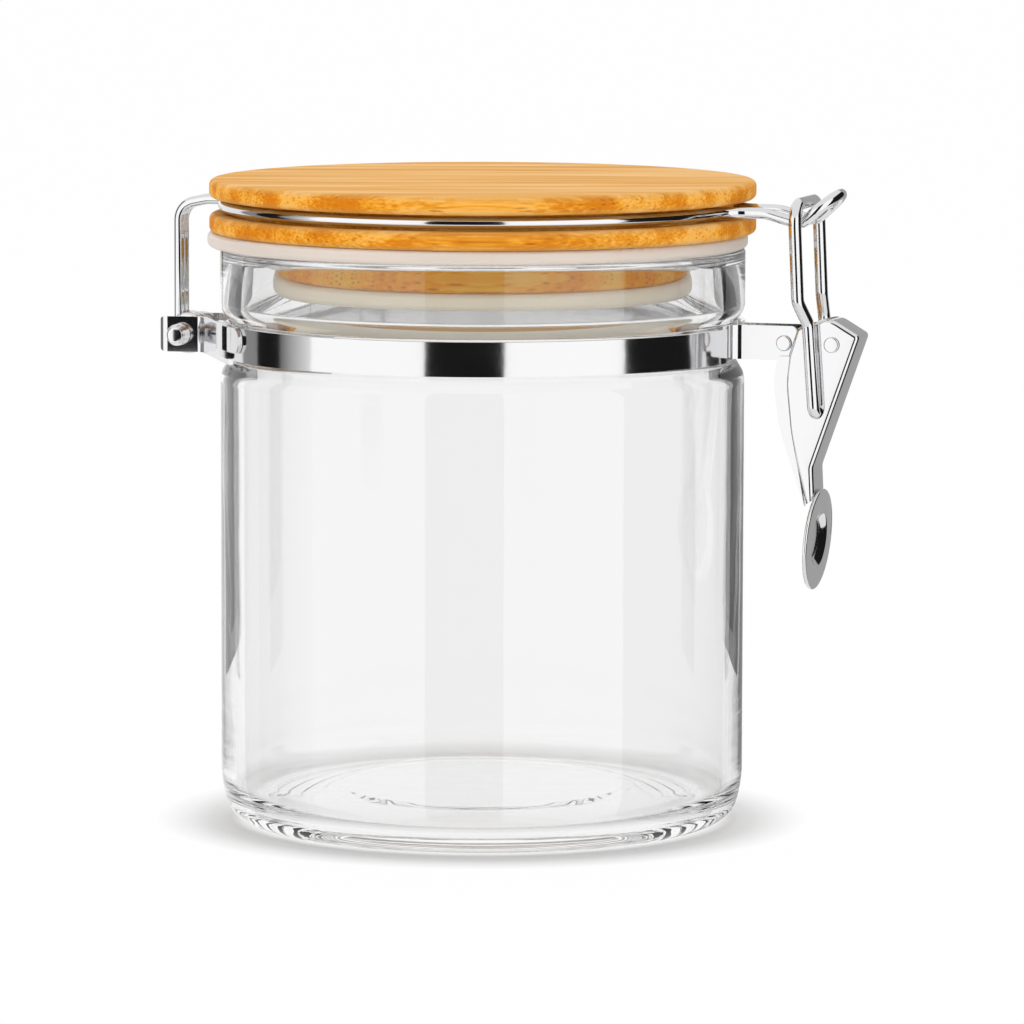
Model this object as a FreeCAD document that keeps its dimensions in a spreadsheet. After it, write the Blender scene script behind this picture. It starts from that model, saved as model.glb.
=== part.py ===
"""Glass storage jar with a bamboo clip-top lid, a wire bail and a toggle clasp.

Millimetres, +Z up. The origin is the centre of the foot on the jar's axis, the
clasp is at +X and the hinge at -X. Every driving size is a cell of the sheet.
"""
import FreeCAD, Part
import math
import os
import Sketcher

Vector = FreeCAD.Vector
Rotation = FreeCAD.Rotation
Placement = FreeCAD.Placement

SIZES = {
    # glass jar
    "jar_radius": 50.0,
    "wall": 2.3,
    "floor_thick": 2.8,
    "floor_low": 2.2,
    "floor_round": 6.0,
    "punt_radius": 28.0,
    "punt_rise": 3.2,
    "punt_round": 12.0,
    "foot_inset": 8.5,
    "base_inset": 2.2,
    "base_round": 5.0,
    "base_height": 7.0,
    "side_round": 21.0,
    "shoulder_corner": 85.8,
    "shoulder_round": 4.0,
    "shoulder_rise": 2.6,
    "relief_inset": 1.5,
    "seat_inset": 0.7,
    "seat_height": 5.4,
    "collar_rise": 10.5,
    "collar_slope": 1.9,
    "collar_round": 3.5,
    "collar_stand": 0.1,
    "rim_rise": 24.2,
    "rim_outer_round": 0.9,
    "rim_inner_round": 2.8,
    "rim_thick": 3.9,
    "neck_rise": 8.7,
    "neck_round": 6.0,
    "shoulder_drop": 1.3,
    # neck band, hinge ears and clasp ears
    "band_rise": 6.9,
    "band_height": 6.4,
    "band_gap": 0.1,
    "strap": 0.9,
    "hinge_stand": 9.2,
    "hinge_drop": 0.8,
    "hinge_ear_height": 6.8,
    "hinge_ear_half": 5.5,
    "hinge_splay": 0.9,
    "hinge_ear_reach": 4.7,
    "hinge_ear_corner": 1.5,
    "hinge_ear_root": 4.4,
    "hinge_slot_half": 3.0,
    "hinge_root_angle": 29.0,
    "clasp_ear_rise": 0.6,
    "clasp_ear_height": 6.4,
    "ear_sheet": 0.8,
    "ear_tip": 2.5,
    "clasp_bend": 2.6,
    # lap clips beside the hinge
    "lap_start": 29.6,
    "lap_angle": 14.0,
    "lap_sheet": 0.8,
    "lap_height": 4.8,
    "lap_rise": 0.8,
    "roll_angle": 5.6,
    "roll_depth": 1.3,
    "roll_height": 6.9,
    "roll_rise": 0.4,
    # hinge bolt and rivets
    "bolt_radius": 1.95,
    "bolt_head_radius": 3.5,
    "bolt_head_height": 2.6,
    "bolt_thread_run": 3.6,
    "thread_pitch": 0.65,
    "thread_depth": 0.22,
    "pin_clearance": 0.06,
    "face_clearance": 0.08,
    "rivet_radius": 1.0,
    "rivet_head": 1.5,
    "rivet_head_height": 0.4,
    "rivet_spacing": 9.5,
    # lid
    "lid_overhang": 2.1,
    "rim_gasket_thick": 2.8,
    "lid_thick": 10.0,
    "lid_round": 1.1,
    "groove_rise": 3.5,
    "groove_height": 3.0,
    "groove_depth": 3.9,
    "plug_inset": 0.55,
    "plug_thick": 9.0,
    "plug_round": 0.8,
    "rim_gasket_overhang": 1.4,
    "rim_gasket_lap": 3.8,
    "rim_gasket_shift": 1.0,
    "rim_gasket_round": 1.0,
    "plug_gasket_gap": 6.05,
    "plug_gasket_thick": 3.0,
    "plug_gasket_width": 10.15,
    "plug_gasket_round": 1.1,
    # bail
    "bail_wire": 1.05,
    "bail_gap": 0.2,
    "bail_leg_out": 1.75,
    "bail_leg_spacing": 2.3,
    "bail_elbow_rise": 3.8,
    "bail_elbow_round": 3.6,
    "bail_run_stand": 3.1,
    "bail_entry_round": 2.0,
    "nose_half": 5.2,
    "nose_exit_round": 5.0,
    "nose_flat_run": 1.8,
    "nose_valley_back": 5.8,
    "nose_valley_rise": 3.05,
    "nose_rise_run": 2.3,
    "nose_tip_rise": 2.05,
    # clasp
    "pivot_stand": 19.8,
    "clasp_sheet": 0.8,
    "lever_width": 8.4,
    "ear_play": 0.2,
    "lever_edge": 0.8,
    "pin_back": 2.9,
    "pin_drop": 12.8,
    "link_wire": 1.2,
    "link_play": 0.7,
    "link_flare": 2.9,
    "link_end_half": 2.75,
    "link_jog_back": 4.1,
    "link_jog_rise": 4.0,
    "link_knee_back": 1.3,
    "link_knee_rise": 4.3,
    "link_top_back": 0.4,
    "link_top_rise": 3.9,
    "link_top_round": 4.4,
    "lip_stand": 0.35,
    "tab_back": 3.6,
    "tab_drop": 37.2,
    "tab_radius": 9.6,
    "tab_lean": 5.0,
    "dimple_radius": 5.4,
    "dimple_depth": 1.1,
}

# places and sizes that follow from the driving sizes: what fits or lines up moves with them
DERIVED = {
    "relief_radius": "jar_radius - relief_inset",
    "seat_radius": "jar_radius - seat_inset",
    "collar_radius": "jar_radius + collar_stand",
    "mouth_radius": "collar_radius - rim_thick",
    "foot_inner": "jar_radius - foot_inset",
    "shoulder_top": "shoulder_corner + shoulder_rise",
    "band_mid": "shoulder_corner + band_rise",
    "collar_low": "shoulder_corner + collar_rise",
    "collar_corner": "collar_low + collar_slope",
    "neck_low": "shoulder_corner + neck_rise",
    "inner_shoulder": "shoulder_corner - shoulder_drop",
    "rim_top": "shoulder_corner + rim_rise",
    "hinge_x": "jar_radius + hinge_stand",
    "hinge_z": "band_mid - hinge_drop",
    "hinge_ear_end": "hinge_x + hinge_ear_reach",
    "hinge_crease": "hinge_x - hinge_ear_root",
    "clasp_ear_z": "band_mid + clasp_ear_rise",
    "pivot_x": "jar_radius + pivot_stand",
    "band_rivet_x": "pivot_x - rivet_spacing",
    "lap_mid": "band_mid + lap_rise",
    "roll_mid": "band_mid + roll_rise",
    "lid_radius": "jar_radius + lid_overhang",
    "lid_low": "rim_top + rim_gasket_thick",
    "lid_top": "lid_low + lid_thick",
    "groove_low": "lid_low + groove_rise",
    "groove_high": "groove_low + groove_height",
    "groove_radius": "lid_radius - groove_depth",
    "plug_gasket_radius": "mouth_radius - plug_gasket_gap",
    "plug_radius": "plug_gasket_radius - plug_inset",
    "plug_low": "lid_low - plug_thick",
    "plug_gasket_low": "plug_low - plug_gasket_thick",
    "plug_gasket_bore": "plug_gasket_radius - plug_gasket_width",
    "rim_gasket_radius": "collar_radius + rim_gasket_overhang",
    "rim_gasket_bore": "mouth_radius - rim_gasket_lap",
    "bail_elbow_z": "lid_low + bail_elbow_rise",
    "bail_run_x": "lid_radius + bail_run_stand",
    "nose_flat_x": "bail_run_x + nose_flat_run",
    "nose_valley_x": "pivot_x - nose_valley_back",
    "nose_rise_x": "nose_valley_x + nose_rise_run",
    "nose_valley_z": "lid_low + nose_valley_rise",
    "nose_rise_z": "nose_valley_z + nose_tip_rise",
    "pin_x": "pivot_x - pin_back",
    "pin_z": "clasp_ear_z - pin_drop",
    "clasp_ear_half": "0.5*lever_width - clasp_sheet - ear_play",
    "link_low_half": "0.5*lever_width + link_wire + link_play",
    "link_top_half": "link_low_half + link_flare",
    "link_jog_x": "pivot_x - link_jog_back",
    "link_jog_z": "clasp_ear_z + link_jog_rise",
    "link_knee_x": "link_jog_x - link_knee_back",
    "link_knee_z": "link_jog_z + link_knee_rise",
    "link_top_x": "nose_valley_x - link_top_back",
    "link_top_z": "nose_valley_z + link_top_rise",
    "tab_x": "pivot_x - tab_back",
    "tab_z": "clasp_ear_z - tab_drop",
}

doc = FreeCAD.newDocument("GlassStorageJar")
sheet = doc.addObject("Spreadsheet::Sheet", "Sizes")
for row, (alias, value) in enumerate(SIZES.items(), 1):
    sheet.set("A%d" % row, alias)
    sheet.set("B%d" % row, str(value))
    sheet.setAlias("B%d" % row, alias)
doc.recompute()


# ---------------------------------------------------------------- sizes as text
def terms(text):
    """The sum as pairs of a number and a driving size, or None for a plain number."""
    found = []
    sign = 1.0
    for word in str(text).split():
        if word in ("+", "-"):
            sign = 1.0 if word == "+" else -1.0
            continue
        scale = sign
        alias = None
        for factor in word.split("*"):
            if factor in SIZES or factor in DERIVED:
                alias = factor
            else:
                scale *= float(factor)
        if alias in DERIVED:
            found += [(scale * inner, name) for inner, name in terms(DERIVED[alias])]
        else:
            found.append((scale, alias))
    return found


def num(text):
    """The value in millimetres of a sum of sizes, such as 'jar_radius - 2*wall'."""
    return sum(scale * (SIZES[alias] if alias else 1.0) for scale, alias in terms(text))


def formula(text):
    """The same sum as an expression on the cells of the sheet."""
    words = []
    for scale, alias in terms(text):
        words.append("%+.6f" % scale + (" * Sizes." + alias if alias else ""))
    return " ".join(words)


# ---------------------------------------------------------------- sketch helpers
def new_body(name):
    body = doc.addObject("PartDesign::Body", name)
    body.Label = name
    return body


def origin_plane(body, role):
    return [f for f in body.Origin.OriginFeatures if f.Role == role][0]


def new_sketch(body, role, name, offset=None):
    sketch = body.newObject("Sketcher::SketchObject", body.Name + "_" + name)
    sketch.AttachmentSupport = [(origin_plane(body, role), "")]
    sketch.MapMode = "FlatFace"
    if offset is not None:
        sketch.AttachmentOffset = offset
    return sketch


def pin_point(sketch, geometry, position, text_x, text_y):
    """Fix one point of a sketch to two sums of sizes."""
    for kind, text, axis in (("DistanceX", text_x, -2), ("DistanceY", text_y, -1)):
        value = num(text)
        if abs(value) < 1e-9:
            sketch.addConstraint(Sketcher.Constraint("PointOnObject", geometry, position, axis))
            continue
        index = sketch.addConstraint(Sketcher.Constraint(kind, geometry, position, value))
        if any(c.isalpha() for c in str(text).replace("e-", "")):
            sketch.setExpression("Constraints[%d]" % index, formula(text))


def draw_outline(sketch, corners):
    """Draw a closed outline of straight runs, with an arc at each corner that has a radius."""
    count = len(corners)
    points = [Vector(num(c[0]), num(c[1]), 0) for c in corners]
    radii = [num(c[2]) if len(c) > 2 else 0.0 for c in corners]
    entry = []
    leave = []
    middle = []
    for i in range(count):
        back = points[i - 1] - points[i]
        ahead = points[(i + 1) % count] - points[i]
        back.normalize()
        ahead.normalize()
        if radii[i] > 0:
            half = back.getAngle(ahead) / 2
            reach = radii[i] / math.tan(half)
            bisector = back + ahead
            bisector.normalize()
            entry.append(points[i] + back * reach)
            leave.append(points[i] + ahead * reach)
            middle.append(points[i] + bisector * (radii[i] / math.sin(half)))
        else:
            entry.append(points[i])
            leave.append(points[i])
            middle.append(None)
    lines = []
    for i in range(count):
        run = Part.LineSegment(leave[i], entry[(i + 1) % count])
        lines.append(sketch.addGeometry(run, False))
    for i in range(count):
        before = lines[i - 1]
        after = lines[i]
        if middle[i] is None:
            sketch.addConstraint(Sketcher.Constraint("Coincident", before, 2, after, 1))
            pin_point(sketch, after, 1, corners[i][0], corners[i][1])
            continue
        start = entry[i] - middle[i]
        end = leave[i] - middle[i]
        left_turn = start.cross(end).z > 0
        first = start if left_turn else end
        last = end if left_turn else start
        a0 = math.atan2(first.y, first.x)
        a1 = math.atan2(last.y, last.x)
        circle = Part.Circle(middle[i], Vector(0, 0, 1), radii[i])
        arc = sketch.addGeometry(Part.ArcOfCircle(circle, a0, a1), False)
        at_entry, at_leave = (1, 2) if left_turn else (2, 1)
        sketch.addConstraint(Sketcher.Constraint("Tangent", before, 2, arc, at_entry))
        sketch.addConstraint(Sketcher.Constraint("Tangent", arc, at_leave, after, 1))
        index = sketch.addConstraint(Sketcher.Constraint("Radius", arc, radii[i]))
        if any(c.isalpha() for c in str(corners[i][2])):
            sketch.setExpression("Constraints[%d]" % index, formula(corners[i][2]))
        corner = sketch.addGeometry(Part.Point(points[i]), True)
        sketch.addConstraint(Sketcher.Constraint("PointOnObject", corner, 1, before))
        sketch.addConstraint(Sketcher.Constraint("PointOnObject", corner, 1, after))
        pin_point(sketch, corner, 1, corners[i][0], corners[i][1])


def draw_circle(sketch, x, y, radius):
    circle = Part.Circle(Vector(num(x), num(y), 0), Vector(0, 0, 1), num(radius))
    geometry = sketch.addGeometry(circle, False)
    pin_point(sketch, geometry, 3, x, y)
    index = sketch.addConstraint(Sketcher.Constraint("Radius", geometry, num(radius)))
    sketch.setExpression("Constraints[%d]" % index, formula(radius))


def draw_rectangle(sketch, x0, x1, y0, y1):
    draw_outline(sketch, [(x0, y0), (x1, y0), (x1, y1), (x0, y1)])


def revolve(body, sketch, axis="V_Axis", angle=None):
    feature = body.newObject("PartDesign::Revolution", sketch.Name + "_turned")
    feature.Profile = sketch
    feature.ReferenceAxis = (sketch, [axis])
    feature.Angle = 360.0
    if angle is not None:
        feature.Angle = num(angle)
        feature.setExpression("Angle", formula(angle))
    sketch.Visibility = False
    return feature


def pad(body, sketch, length, both_ways=False):
    feature = body.newObject("PartDesign::Pad", sketch.Name + "_pad")
    feature.Profile = sketch
    feature.Length = num(length)
    feature.setExpression("Length", formula(length))
    feature.SideType = "Symmetric" if both_ways else "One side"
    return feature


def pocket(body, sketch, length):
    """Cut both ways from the sketch, so that the cut has no direction to get wrong."""
    feature = body.newObject("PartDesign::Pocket", sketch.Name + "_cut")
    feature.Profile = sketch
    feature.SideType = "Symmetric"
    feature.Length = num(length)
    feature.setExpression("Length", formula(length))
    return feature


def raise_sketch(sketch, text):
    """Lift a sketch on the XY plane to a height of the sheet."""
    sketch.AttachmentOffset = Placement(Vector(0, 0, num(text)), Rotation())
    sketch.setExpression("AttachmentOffset.Base.z", formula(text))


def strip_outline(points, radii, thickness):
    """The outline of a bent strip about its middle line, with concentric inner and outer bends."""
    left = []
    right = []
    last = len(points) - 1
    for i, point in enumerate(points):
        here = Vector(point[0], point[1], 0)
        runs = []
        if i > 0:
            runs.append(here - Vector(points[i - 1][0], points[i - 1][1], 0))
        if i < last:
            runs.append(Vector(points[i + 1][0], points[i + 1][1], 0) - here)
        normals = []
        for run in runs:
            run.normalize()
            normals.append(Vector(-run.y, run.x, 0))
        mitre = normals[0] + normals[-1]
        mitre.normalize()
        mitre = mitre * (thickness / 2 / mitre.dot(normals[0]))
        turn = runs[0].cross(runs[-1]).z
        radius = radii[i]
        inner = max(radius - thickness / 2, 0.05)
        outer = radius + thickness / 2
        near = here + mitre
        far = here - mitre
        if radius > 0:
            left.append((near.x, near.y, inner if turn > 0 else outer))
            right.append((far.x, far.y, outer if turn > 0 else inner))
        else:
            left.append((near.x, near.y))
            right.append((far.x, far.y))
    return [tuple("%.6f" % v for v in c) for c in left + right[::-1]]


# ---------------------------------------------------------------- glass jar
glass_jar = new_body("glass_jar")
jar_section = new_sketch(glass_jar, "XZ_Plane", "section")
seat_low = "band_mid - 0.5*seat_height"
seat_high = "band_mid + 0.5*seat_height"
draw_outline(jar_section, [
    ("0", "punt_rise"),
    ("punt_radius", "punt_rise", "punt_round"),
    ("foot_inner", "0"),
    ("jar_radius - base_inset", "0", "base_round"),
    ("jar_radius", "base_height", "side_round"),
    ("jar_radius", "shoulder_corner", "shoulder_round"),
    ("relief_radius", "shoulder_top"),
    ("relief_radius", seat_low),
    ("seat_radius", seat_low),
    ("seat_radius", seat_high),
    ("relief_radius", seat_high),
    ("relief_radius", "collar_low"),
    ("collar_radius", "collar_corner", "collar_round"),
    ("collar_radius", "rim_top", "rim_outer_round"),
    ("mouth_radius", "rim_top", "rim_inner_round"),
    ("mouth_radius", "neck_low", "neck_round"),
    ("jar_radius - wall", "inner_shoulder", "neck_round"),
    ("jar_radius - wall", "floor_low", "floor_round"),
    ("punt_radius", "punt_rise + floor_thick", "punt_round"),
    ("0", "punt_rise + floor_thick"),
])
revolve(glass_jar, jar_section)

# ---------------------------------------------------------------- neck band
band_inner = "seat_radius + band_gap"
band_outer = band_inner + " + strap"
ear_low = "clasp_ear_z - 0.5*clasp_ear_height"
ear_high = "clasp_ear_z + 0.5*clasp_ear_height"
corner_low = "hinge_z - 0.5*hinge_ear_height"
corner_high = "hinge_z + 0.5*hinge_ear_height"


def half_band(name, side):
    """One half of the strap round the neck: a hinge ear at one end, a clasp ear at the other."""
    body = new_body(name)
    ring = new_sketch(body, "XY_Plane", "ring")
    raise_sketch(ring, "band_mid - 0.5*band_height")
    draw_circle(ring, "0", "0", band_inner)
    draw_circle(ring, "0", "0", band_outer)
    pad(body, ring, "band_height")

    # the ring opens at the clasp, and its end is bent outward into a flat ear
    mid_radius = num(band_inner) + num("strap") / 2
    ear_mid = num("clasp_ear_half - 0.5*ear_sheet")
    open_half = "clasp_ear_half + clasp_bend"
    slot = new_sketch(body, "XY_Plane", "clasp_gap")
    raise_sketch(slot, "band_mid")
    draw_rectangle(slot, "0.9*seat_radius", "1.2*jar_radius", "- clasp_ear_half - clasp_bend",
                   open_half)
    pocket(body, slot, "3*band_height")
    lead = math.radians(9.0)
    middle_line = [
        (mid_radius * math.cos(lead), side * mid_radius * math.sin(lead)),
        (math.sqrt(mid_radius ** 2 - ear_mid ** 2), side * ear_mid),
        (num("pivot_x + ear_tip"), side * ear_mid),
    ]
    ear = new_sketch(body, "XY_Plane", "clasp_ear")
    raise_sketch(ear, ear_low)
    draw_outline(ear, strip_outline(middle_line, [0, num("clasp_bend"), 0], num("ear_sheet")))
    pad(body, ear, "clasp_ear_height")
    side_cut = new_sketch(body, "XZ_Plane", "clasp_ear_cut")
    start = "jar_radius + 3.5"
    draw_outline(side_cut, [
        (start, ear_low + " - 3"),
        (start, ear_low),
        ("pivot_x - 4.2", ear_low, "2.0"),
        ("pivot_x - 1.6", "clasp_ear_z - ear_tip", "2.0"),
        ("pivot_x + ear_tip", "clasp_ear_z - ear_tip", "ear_tip - 0.1"),
        ("pivot_x + ear_tip", "clasp_ear_z + ear_tip", "ear_tip - 0.1"),
        ("pivot_x - ear_tip + 0.1", "clasp_ear_z + ear_tip", "ear_tip - 0.3"),
        ("pivot_x - ear_tip + 0.1", "clasp_ear_z - 0.7", "0.4"),
        ("pivot_x - 5.8", "clasp_ear_z - 0.7", "0.6"),
        ("pivot_x - 7.4", ear_high, "1.0"),
        (start, ear_high),
        (start, ear_high + " + 3"),
        ("pivot_x + 3*ear_tip", ear_high + " + 3"),
        ("pivot_x + 3*ear_tip", ear_low + " - 3"),
    ])
    pocket(body, side_cut, "4*clasp_ear_half")

    # at the hinge the strap leaves the ring and is pinched outward into an ear
    root = math.radians(num("hinge_root_angle"))
    lead = math.radians(num("hinge_root_angle") + 6.0)
    gap_half = "%.6f" % (mid_radius * math.sin(root) - 0.2)
    gap = new_sketch(body, "XY_Plane", "hinge_gap")
    raise_sketch(gap, "band_mid")
    draw_rectangle(gap, "- 1.1*jar_radius", "- 0.9*seat_radius", "- " + gap_half, gap_half)
    pocket(body, gap, "3*band_height")
    ear = new_sketch(body, "XY_Plane", "hinge_ear")
    raise_sketch(ear, corner_low)
    ear_mid = num("hinge_ear_half - 0.5*strap")
    ear_end = -num("hinge_ear_end - 0.5*strap")
    ear_slope = math.atan(num("hinge_splay") / num("hinge_ear_end - hinge_crease"))
    crease_mid = ear_mid - math.tan(ear_slope) * num("hinge_x - hinge_crease")
    middle_line = [
        (-mid_radius * math.cos(lead), side * mid_radius * math.sin(lead)),
        (-mid_radius * math.cos(root), side * mid_radius * math.sin(root)),
        (-num("hinge_crease"), side * crease_mid),
        (ear_end, side * (crease_mid + num("hinge_splay"))),
        (ear_end, side * num("hinge_slot_half")),
    ]
    draw_outline(ear, strip_outline(middle_line, [0, 3.0, 2.0, num("hinge_ear_corner"), 0],
                                    num("strap")))
    pad(body, ear, "hinge_ear_height")
    corners = new_sketch(body, "XZ_Plane", "hinge_corners")
    draw_outline(corners, [
        ("- hinge_crease", corner_low + " - 3"),
        ("- hinge_crease", corner_low),
        ("- hinge_ear_end", corner_low, "1.6"),
        ("- hinge_ear_end", corner_high, "1.6"),
        ("- hinge_crease", corner_high),
        ("- hinge_crease", corner_high + " + 3"),
        ("- hinge_ear_end - 4", corner_high + " + 3"),
        ("- hinge_ear_end - 4", corner_low + " - 3"),
    ])
    pocket(body, corners, "4*hinge_ear_half")

    # holes for the bolt and the two rivets, then the other half is cut away
    holes = new_sketch(body, "XZ_Plane", "holes")
    draw_circle(holes, "- hinge_x", "hinge_z", "bolt_radius + pin_clearance")
    draw_circle(holes, "band_rivet_x", "clasp_ear_z", "rivet_radius + pin_clearance")
    draw_circle(holes, "pivot_x", "clasp_ear_z", "rivet_radius + pin_clearance")
    pocket(body, holes, "4*hinge_ear_half")
    other = new_sketch(body, "XY_Plane", "other_half")
    raise_sketch(other, "band_mid")
    far = "2*jar_radius" if side < 0 else "- 2*jar_radius"
    near = "0"
    low_y, high_y = (near, far) if side < 0 else (far, near)
    draw_rectangle(other, "- 2*jar_radius", "2*jar_radius", low_y, high_y)
    pocket(body, other, "3*band_height")
    return body


neck_band_near = half_band("neck_band_near", -1)
neck_band_far = half_band("neck_band_far", 1)


# ---------------------------------------------------------------- lap clips at the hinge
def lap_clip(name, side):
    """A strip lapped on the band beside the hinge, rolled over at its root."""
    body = new_body(name)
    gap_outer = band_outer + " + face_clearance"
    lap_low = "lap_mid - 0.5*lap_height"
    lap_high = "lap_mid + 0.5*lap_height"
    turn = 180.0 + side * num("lap_start")
    offset = Placement(Vector(0, 0, 0), Rotation(Vector(0, 1, 0), turn))
    lap = new_sketch(body, "XZ_Plane", "lap", offset)
    draw_outline(lap, [
        (gap_outer, lap_low), (gap_outer + " + lap_sheet", lap_low, "0.2"),
        (gap_outer + " + lap_sheet", lap_high, "0.2"), (gap_outer, lap_high)])
    lap_turn = revolve(body, lap, angle="lap_angle")
    lap_turn.Reversed = side < 0
    # the free end of the tongue is rounded, seen square on
    facing = num("lap_start") + 0.5 * num("lap_angle")
    square_on = 90.0 - side * (180.0 - facing)
    tongue = new_sketch(body, "XZ_Plane", "tongue",
                        Placement(Vector(0, 0, 0), Rotation(Vector(0, 1, 0), square_on)))
    reach = math.sin(math.radians(num("lap_angle") / 2)) * num(gap_outer + " + lap_sheet")
    inward = "%.4f" % (side * (reach - num("lap_height")))
    end = "%.4f" % (side * reach)
    past = "%.4f" % (side * (reach + 3.0))
    corner = "0.5*lap_height - 0.05"
    draw_outline(tongue, [
        (inward, lap_low + " - 3"), (inward, lap_low), (end, lap_low, corner),
        (end, lap_high, corner), (inward, lap_high), (inward, lap_high + " + 3"),
        (past, lap_high + " + 3"), (past, lap_low + " - 3")])
    pocket(body, tongue, "4*jar_radius")
    # the root of the clip is rolled over into a standing bead
    roll_low = "roll_mid - 0.5*roll_height"
    roll_high = "roll_mid + 0.5*roll_height"
    roll = new_sketch(body, "XZ_Plane", "roll", offset)
    draw_outline(roll, [
        (gap_outer, roll_low), (gap_outer + " + roll_depth", roll_low, "0.5"),
        (gap_outer + " + roll_depth", roll_high, "0.5"), (gap_outer, roll_high)])
    roll_turn = revolve(body, roll, angle="roll_angle")
    roll_turn.Reversed = side < 0
    return body


hinge_clip_near = lap_clip("hinge_clip_near", 1)
hinge_clip_far = lap_clip("hinge_clip_far", -1)


# ---------------------------------------------------------------- bolt and rivets
def cross_pin(name, corners, x, z):
    """A turned pin that lies across the jar, along Y, at one place."""
    body = new_body(name)
    section = new_sketch(body, "XY_Plane", "section")
    draw_outline(section, corners)
    revolve(body, section)
    body.Placement = Placement(Vector(num(x), 0, num(z)), Rotation())
    body.setExpression("Placement.Base.x", formula(x))
    body.setExpression("Placement.Base.z", formula(z))
    return body


head_seat = "hinge_ear_half + 0.5*hinge_splay + face_clearance"
thread_corners = []
thread_start = "- hinge_ear_half - 0.5*hinge_splay"
for turn in range(int(num("bolt_thread_run") / num("thread_pitch")) - 1):
    crest = thread_start + " - %d*thread_pitch" % turn
    root_line = thread_start + " - %.1f*thread_pitch" % (turn + 0.5)
    thread_corners.append(("bolt_radius + 0.5*thread_depth", crest))
    thread_corners.append(("bolt_radius - 0.5*thread_depth", root_line))
bolt_end = "- hinge_ear_half - bolt_thread_run"
hinge_bolt = cross_pin("hinge_bolt", [
    ("0", bolt_end),
    ("bolt_radius - thread_depth", bolt_end, "0.7"),
] + thread_corners[::-1] + [
    ("bolt_radius", "- hinge_ear_half"),
    ("bolt_radius", head_seat),
    ("bolt_head_radius", head_seat, "0.3"),
    ("bolt_head_radius", head_seat + " + bolt_head_height", "1.4"),
    ("0", head_seat + " + bolt_head_height"),
], "- hinge_x", "hinge_z")


def rivet(name, seat, x, z):
    """A rivet with the same flat domed head at both ends."""
    top = seat + " + rivet_head_height"
    return cross_pin(name, [
        ("0", "- " + top.replace(" + ", " - ")),
        ("rivet_head", "- " + top.replace(" + ", " - "), "0.3"),
        ("rivet_head", "- " + seat.replace(" + ", " - ")),
        ("rivet_radius", "- " + seat.replace(" + ", " - ")),
        ("rivet_radius", seat),
        ("rivet_head", seat),
        ("rivet_head", top, "0.3"),
        ("0", top),
    ], x, z)


band_rivet = rivet("band_rivet", "clasp_ear_half + face_clearance", "band_rivet_x", "clasp_ear_z")
lever_rivet = rivet("lever_rivet", "0.5*lever_width + face_clearance", "pivot_x", "clasp_ear_z")


# ---------------------------------------------------------------- lid
def turned(name, corners):
    body = new_body(name)
    section = new_sketch(body, "XZ_Plane", "section")
    draw_outline(section, corners)
    revolve(body, section)
    return body


lid_disc = turned("lid_disc", [
    ("0", "lid_low"),
    ("lid_radius", "lid_low", "lid_round"),
    ("lid_radius", "groove_low", "lid_round"),
    ("groove_radius", "groove_low"),
    ("groove_radius", "groove_high"),
    ("lid_radius", "groove_high", "lid_round"),
    ("lid_radius", "lid_top", "lid_round"),
    ("0", "lid_top"),
])
lid_plug = turned("lid_plug", [
    ("0", "plug_low"),
    ("plug_radius", "plug_low", "plug_round"),
    ("plug_radius", "lid_low"),
    ("0", "lid_low"),
])
plug_gasket = turned("plug_gasket", [
    ("plug_gasket_bore", "plug_gasket_low"),
    ("plug_gasket_radius", "plug_gasket_low", "plug_gasket_round"),
    ("plug_gasket_radius", "plug_low", "plug_gasket_round"),
    ("plug_gasket_bore", "plug_low"),
])
rim_gasket = turned("rim_gasket", [
    ("rim_gasket_bore", "rim_top"),
    ("rim_gasket_radius", "rim_top", "rim_gasket_round"),
    ("rim_gasket_radius", "lid_low", "rim_gasket_round"),
    ("rim_gasket_bore", "lid_low"),
])
rim_gasket.Placement = Placement(Vector(-num("rim_gasket_shift"), 0, 0), Rotation())
rim_gasket.setExpression("Placement.Base.x", "-Sizes.rim_gasket_shift")


# ---------------------------------------------------------------- wire forms
def rounded_run(points, radii):
    """Straight runs through 3-D points, joined by tangent arcs."""
    edges = []
    start = points[0]
    for i in range(1, len(points)):
        corner = points[i]
        if i == len(points) - 1 or radii[i] == 0:
            edges.append(Part.LineSegment(start, corner).toShape())
            start = corner
            continue
        back = start - corner
        ahead = points[i + 1] - corner
        back.normalize()
        ahead.normalize()
        half = back.getAngle(ahead) / 2
        reach = radii[i] / math.tan(half)
        bisector = back + ahead
        bisector.normalize()
        centre = corner + bisector * (radii[i] / math.sin(half))
        first = corner + back * reach
        last = corner + ahead * reach
        middle = centre - bisector * radii[i]
        edges.append(Part.LineSegment(start, first).toShape())
        edges.append(Part.Arc(first, middle, last).toShape())
        start = last
    return edges


def arc_about(centre, first, last, radius):
    """The shorter arc between two points about a centre in a level plane."""
    toward = (first - centre) + (last - centre)
    toward.normalize()
    return Part.Arc(first, centre + toward * radius, last).toShape()


def mirrored(edges):
    """The same edges on the other side of the XZ plane, in the opposite order."""
    return [e.mirror(Vector(0, 0, 0), Vector(0, 1, 0)) for e in edges[::-1]]


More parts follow.
